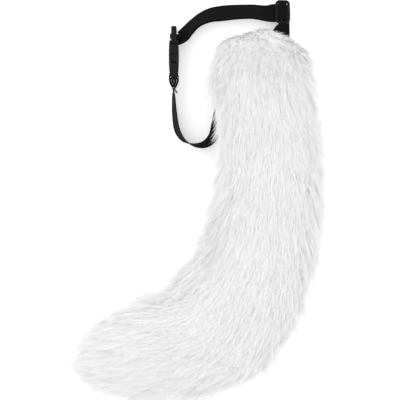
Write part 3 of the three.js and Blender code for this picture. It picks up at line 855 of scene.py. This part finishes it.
def floatField(mesh, name, values):
    field = mesh.attributes.new(name, "FLOAT", "POINT")
    field.data.foreach_set("value", np.array(values, np.float32))


skinMesh, skinNaps, skinShares, skinAngles = makeSkin()
hairWays, hairOuts, hairLongs, hairThick, wispThick = [], [], [], [], []
for vertex, nap, share, angle in zip(skinMesh.vertices, skinNaps, skinShares, skinAngles):
    out = vertex.normal.copy()
    stand, long = napAt(share, angle)
    lying = 0.85 if nap.dot(out) > 0 else 1.0  # less than a full turn where the skin faces along the nap
    combed = nap + upward * tail["rootComb"] * (1 - smoothStep(share, 0.02, 0.08))
    along = (combed - out * combed.dot(out) * lying).normalized()
    hairWays.append((along * math.cos(stand) + out * math.sin(stand)).normalized())
    lifted = mix(0.3 * tail["softShade"], tail["softShade"], smoothStep(share, 0.03, 0.1))
    hairOuts.append((out + upward * lifted).normalized())
    hairLongs.append(long * mm)
    hairThick.append(tail["underShare"] if out.z < -0.5 else 1.0)
    wispThick.append(max(1 - (out.z / tail["wispSteep"]) ** 2, 0.0))
vectorField(skinMesh, "hairWay", hairWays)
vectorField(skinMesh, "hairOut", hairOuts)
floatField(skinMesh, "hairLong", hairLongs)
floatField(skinMesh, "hairThick", hairThick)
floatField(skinMesh, "wispThick", wispThick)
floatField(skinMesh, "tailShare", skinShares)


def tuftMesh(name, seed, loose):  # hairs along +X from a round foot, one hair length long
    dice = random.Random(seed)
    points, faces = [], []
    for _ in range(tail["hairsPerTuft"]):
        reach = tail["tuftSpread"] * math.sqrt(dice.random())
        turn = dice.uniform(0, 2 * math.pi)
        foot = Vector((reach * math.cos(turn), reach * math.sin(turn), -0.02))
        long = dice.uniform(0.95, 1.25) if loose else dice.uniform(0.72, 1.05)
        rise = dice.uniform(0.05, 0.12)
        sideways = dice.gauss(0, tail["strayAcross"])
        stray = Vector((0, sideways, dice.gauss(0, tail["strayUp"]) + (tail["wispLift"] if loose else 0)))
        roll = dice.gauss(0, tail["roll"])
        wide = tail["hairWidth"] * dice.uniform(0.75, 1.25)
        across = Vector((0, math.cos(roll), math.sin(roll)))
        start = len(points)
        for u, share in ((0, 1), (0.36, 0.95), (0.72, 0.6), (1, 0)):
            draw = 1 - (0.8 if loose else 0.2) * u
            bow = rise * math.sin(u * math.pi * 0.75)
            spot = Vector((foot.x + long * u, foot.y * draw, foot.z + bow)) + stray * u**1.6
            if share:
                points.extend([spot - across * wide * share / 2, spot + across * wide * share / 2])
            else:
                points.append(spot)
        for k in (0, 2):
            faces.append((start + k, start + k + 2, start + k + 3, start + k + 1))
        faces.append((start + 4, start + 6, start + 5))
    mesh = bpy.data.meshes.new(name)
    mesh.from_pydata(points, [], faces)
    return mesh


def tuftShapes(name, count, seed, loose):
    shapes = bpy.data.collections.new(name)
    scene.collection.children.link(shapes)
    for i in range(count):
        mesh = tuftMesh(f"{name}_{i}", seed + i, loose)
        shapes.objects.link(bpy.data.objects.new(mesh.name, mesh))
    return shapes


tufts = tuftShapes("tuft", tail["tuftShapes"], tail["seed"], False)
wisps = tuftShapes("wisp", tail["wispShapes"], tail["seed"] + tail["tuftShapes"], True)


def furTree():
    tree = bpy.data.node_groups.new("Scatter tufts", "GeometryNodeTree")
    sockets = [
        ("Skin", "NodeSocketGeometry", None), ("Tufts", "NodeSocketCollection", None),
        ("Fur", "NodeSocketMaterial", None), ("Tufts per m2", "NodeSocketFloat", 1000.0),
        ("Yaw", "NodeSocketFloat", 0.2), ("Shortest", "NodeSocketFloat", 0.8),
        ("Longest", "NodeSocketFloat", 1.2), ("Seed", "NodeSocketInt", 0),
        ("Where", "NodeSocketString", "hairThick"),
    ]
    for name, kind, start in sockets:
        socket = tree.interface.new_socket(name, in_out="INPUT", socket_type=kind)
        if start is not None:
            socket.default_value = start
    tree.interface.new_socket("Fur", in_out="OUTPUT", socket_type="NodeSocketGeometry")
    given = addNode(tree, "NodeGroupInput")
    result = addNode(tree, "NodeGroupOutput")

    def field(name, kind):
        named = addNode(tree, "GeometryNodeInputNamedAttribute", {"Name": name}, data_type=kind)
        return named.outputs["Attribute"]

    def maths(operation, a, b):
        node = addNode(tree, "ShaderNodeMath", operation=operation)
        for socket, value in zip(node.inputs, (a, b)):
            if isinstance(value, (int, float)):
                socket.default_value = value
            else:
                join(tree, (value, socket))
        return node.outputs[0]

    where = addNode(tree, "GeometryNodeInputNamedAttribute", data_type="FLOAT")
    scatter = addNode(tree, "GeometryNodeDistributePointsOnFaces", distribute_method="RANDOM")
    join(
        tree,
        (given.outputs["Skin"], scatter.inputs["Mesh"]),
        (given.outputs["Where"], where.inputs["Name"]),
        (maths("MULTIPLY", given.outputs["Tufts per m2"], where.outputs["Attribute"]),
         scatter.inputs["Density"]),
        (given.outputs["Seed"], scatter.inputs["Seed"]),
    )
    separate = {"Separate Children": True, "Reset Children": True}
    shapes = addNode(tree, "GeometryNodeCollectionInfo", separate)
    join(tree, (given.outputs["Tufts"], shapes.inputs["Collection"]))
    aim = addNode(tree, "FunctionNodeAxesToRotation", primary_axis="X", secondary_axis="Z")
    join(
        tree,
        (field("hairWay", "FLOAT_VECTOR"), aim.inputs["Primary Axis"]),
        (field("hairOut", "FLOAT_VECTOR"), aim.inputs["Secondary Axis"]),
    )
    yaw = addNode(tree, "FunctionNodeRandomValue", data_type="FLOAT")
    nod = addNode(tree, "FunctionNodeRandomValue", data_type="FLOAT")
    turn = addNode(tree, "ShaderNodeCombineXYZ")
    turned = addNode(tree, "FunctionNodeRotateRotation", rotation_space="LOCAL")
    wayward = addNode(tree, "FunctionNodeEulerToRotation")

    def randomSockets(node):
        shown = {s.name: s for s in node.inputs if s.enabled}
        return shown["Min"], shown["Max"], shown["Seed"], next(s for s in node.outputs if s.enabled)

    yawMin, yawMax, yawSeed, yawOut = randomSockets(yaw)
    nodMin, nodMax, nodSeed, nodOut = randomSockets(nod)
    for low, high, seed, shift in ((yawMin, yawMax, yawSeed, 1), (nodMin, nodMax, nodSeed, 2)):
        join(
            tree,
            (maths("MULTIPLY", given.outputs["Yaw"], -1.0), low),
            (given.outputs["Yaw"], high),
            (maths("ADD", given.outputs["Seed"], float(shift)), seed),
        )
    join(
        tree,
        (yawOut, turn.inputs["Z"]),
        (maths("MULTIPLY", nodOut, tail["nod"]), turn.inputs["Y"]),
        (turn.outputs["Vector"], wayward.inputs["Euler"]),
        (aim.outputs["Rotation"], turned.inputs["Rotation"]),
        (wayward.outputs["Rotation"], turned.inputs["Rotate By"]),
    )
    stretch = addNode(tree, "FunctionNodeRandomValue", data_type="FLOAT")
    low, high, seed, stretchOut = randomSockets(stretch)
    join(
        tree,
        (given.outputs["Shortest"], low),
        (given.outputs["Longest"], high),
        (maths("ADD", given.outputs["Seed"], 3.0), seed),
    )
    plant = addNode(tree, "GeometryNodeInstanceOnPoints", {"Pick Instance": True})
    real = addNode(tree, "GeometryNodeRealizeInstances")
    paint = addNode(tree, "GeometryNodeSetMaterial")
    join(
        tree,
        (scatter.outputs["Points"], plant.inputs["Points"]),
        (shapes.outputs["Instances"], plant.inputs["Instance"]),
        (turned.outputs["Rotation"], plant.inputs["Rotation"]),
        (maths("MULTIPLY", field("hairLong", "FLOAT"), stretchOut), plant.inputs["Scale"]),
        (plant.outputs["Instances"], real.inputs["Geometry"]),
        (real.outputs["Geometry"], paint.inputs["Geometry"]),
        (given.outputs["Fur"], paint.inputs["Material"]),
        (paint.outputs["Geometry"], result.inputs["Fur"]),
    )
    return tree


scatterTufts = furTree()
furFields = ("hairWay", "hairOut", "hairLong", "hairThick", "wispThick", "tailShare")


def skinPatch(name, low, high):  # the part of the skin between two shares of the tail's length
    patch = skinMesh.copy()
    patch.name = name
    work = bmesh.new()
    work.from_mesh(patch)
    shareLayer = work.verts.layers.float["tailShare"]
    outside = []
    for face in work.faces:
        share = sum(v[shareLayer] for v in face.verts) / len(face.verts)
        if not low <= share < high:
            outside.append(face)
    bmesh.ops.delete(work, geom=outside, context="FACES")
    work.to_mesh(patch)
    work.free()
    return patch


def makeFur(name, low, high, seed, shapes, perM2, where):
    planted = bpy.data.objects.new(name, skinPatch(name, low, high))
    scene.collection.objects.link(planted)
    modifier = planted.modifiers.new("Scatter tufts", "NODES")
    modifier.node_group = scatterTufts
    setInputs(modifier, {
        "Tufts": shapes, "Fur": finishes["fur"], "Tufts per m2": float(perM2), "Seed": seed,
        "Where": where, "Yaw": tail["yaw"], "Shortest": tail["shortest"], "Longest": tail["longest"],
    })
    grown = bpy.data.meshes.new_from_object(planted.evaluated_get(bpy.context.evaluated_depsgraph_get()))
    bpy.data.objects.remove(planted)
    places = np.empty(len(grown.vertices) * 3, np.float32)
    grown.vertices.foreach_get("co", places)
    places = places.reshape(-1, 3)
    rest = tail["hairRest"] * mm
    sunk = places[:, 2] < rest
    places[sunk, 2] = rest + np.abs(places[sunk, 2]) * tail["restSpread"]
    grown.vertices.foreach_set("co", places.ravel())
    outs = np.empty(len(grown.vertices) * 3, np.float32)
    grown.attributes["hairOut"].data.foreach_get("vector", outs)
    grown.polygons.foreach_set("use_smooth", [True] * len(grown.polygons))
    grown.normals_split_custom_set_from_vertices(outs.reshape(-1, 3).tolist())
    for field in furFields:
        if field in grown.attributes:
            grown.attributes.remove(grown.attributes[field])
    grown.name = name
    fur = addPiece(name, grown, "fur")
    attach(fur, "root")
    print(name, "has", len(grown.loops) - 2 * len(grown.polygons), "triangles")
    return fur


count = len(tail["parts"])
for i, name in enumerate(tail["parts"]):
    low, high = i / count - (i == 0), (i + 1) / count + (i == count - 1)
    makeFur(name, low, high, tail["seed"] * 100 + i * 10, tufts, tail["tuftsPerM2"], "hairThick")
makeFur("fur_wisps", -1, 2, tail["seed"] * 100 - 10, wisps, tail["wispsPerM2"], "wispThick")

for field in furFields:
    skinMesh.attributes.remove(skinMesh.attributes[field])
backing = addPiece("fur_backing", skinMesh, "fur")
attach(backing, "root")
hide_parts("fur_tail")
for shapes in (tufts, wisps):
    for template in list(shapes.objects):
        bpy.data.objects.remove(template)
    bpy.data.collections.remove(shapes)
print("fur grown")


# Floor, light and camera

studio = {
    "floorSize": 6.0,
    "floorWhite": 0.92,
    "floorGlow": 0.3,  # of a lit table top, for a ground almost without shadow
    "skyStrength": 1.2,
    "softboxSize": 2.4,
    "softboxHeight": 1.9,
    "softboxAside": 0.5,  # to the left and towards the root
    "softboxTilt": 14,  # degrees, both ways
    "softboxPower": 8,
    "pixel": 1.28,  # millimetres of the object for each pixel of the photograph
    "peakPixel": (264.8, 25.4),
    "imagePixels": 400,
    "cameraHeight": 3.2,
    "sharpHeight": 0.03,  # where a pixel is as large as stated
}

floorMesh = bpy.data.meshes.new("floor")
reach = studio["floorSize"] / 2
floorCorners = [(-reach, -reach, 0), (reach, -reach, 0), (reach, reach, 0), (-reach, reach, 0)]
floorMesh.from_pydata(floorCorners, [], [(0, 1, 2, 3)])
floor = bpy.data.objects.new("floor", floorMesh)
scene.collection.objects.link(floor)
floorFinish, _, floorShader = newMaterial("Pale floor", Roughness=0.9, Specular_IOR_Level=0.1)
floorShader.inputs["Base Color"].default_value = (*[studio["floorWhite"]] * 3, 1)
floorShader.inputs["Emission Color"].default_value = (1, 1, 1, 1)
floorShader.inputs["Emission Strength"].default_value = studio["floorGlow"]
floorMesh.materials.append(floorFinish)

world = bpy.data.worlds.new("Studio")
world.use_nodes = True
world.node_tree.nodes["Background"].inputs["Color"].default_value = (1, 1, 1, 1)
world.node_tree.nodes["Background"].inputs["Strength"].default_value = studio["skyStrength"]
scene.world = world
softLight = bpy.data.lights.new("softbox", "AREA")
softLight.size = studio["softboxSize"]
softLight.energy = studio["softboxPower"]
softbox = bpy.data.objects.new("softbox", softLight)
softbox.location = (-studio["softboxAside"], studio["softboxAside"], studio["softboxHeight"])
softbox.rotation_euler = (math.radians(-studio["softboxTilt"]), math.radians(-studio["softboxTilt"]), 0)
scene.collection.objects.link(softbox)

half = studio["imagePixels"] / 2
across = (half - studio["peakPixel"][0]) * studio["pixel"]
down = (studio["peakPixel"][1] - half) * studio["pixel"]
camera = bpy.data.objects.new("camera", bpy.data.cameras.new("camera"))
camera.location = toFrame((across, down, 0)) + Vector((0, 0, studio["cameraHeight"]))
shown = studio["imagePixels"] * studio["pixel"] * mm
camera.data.lens = camera.data.sensor_width * (studio["cameraHeight"] - studio["sharpHeight"]) / shown
camera.data.clip_end = 20
scene.collection.objects.link(camera)
scene.camera = camera
scene.view_settings.view_transform = "Standard"
print("studio ready")
